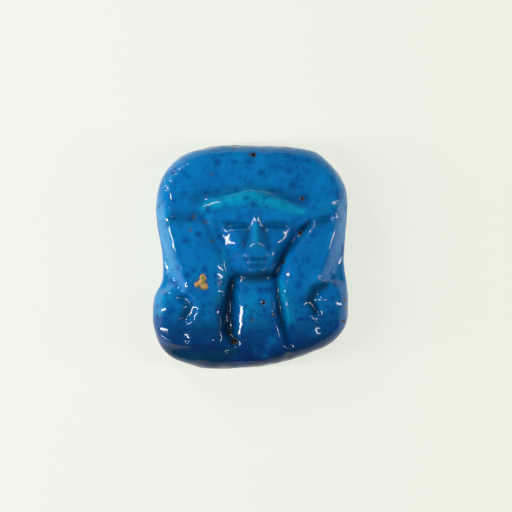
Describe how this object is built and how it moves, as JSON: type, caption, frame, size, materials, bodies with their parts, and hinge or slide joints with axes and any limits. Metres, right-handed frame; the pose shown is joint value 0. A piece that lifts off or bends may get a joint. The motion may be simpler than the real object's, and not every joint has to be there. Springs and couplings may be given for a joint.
{
  "type": "hathor head amulet",
  "caption": "Small flat-backed faience amulet of a goddess's head with cow's ears and a curled wig, pierced from crown to foot for a thread.",
  "frame": {"origin": "middle of the flat back, in the plane it rests on", "axes": "+Z out of the relief, +X to the right and +Y to the crown as the face is looked at"},
  "size_m": [0.0122, 0.014, 0.0039],
  "materials": {
    "quartz_paste": "matt sandy quartz paste",
    "blue_glaze": "thick glossy alkaline glaze, mid blue with cobalt specks and turquoise on thin edges",
    "ochre_grit": "rough ochre grains caught in the glaze"
  },
  "bodies": {
    "root": {"faience_core": "quartz_paste", "glaze_coat": "blue_glaze", "lappet_grit": "ochre_grit", "ear_grit": "ochre_grit"}
  },
  "joints": []
}
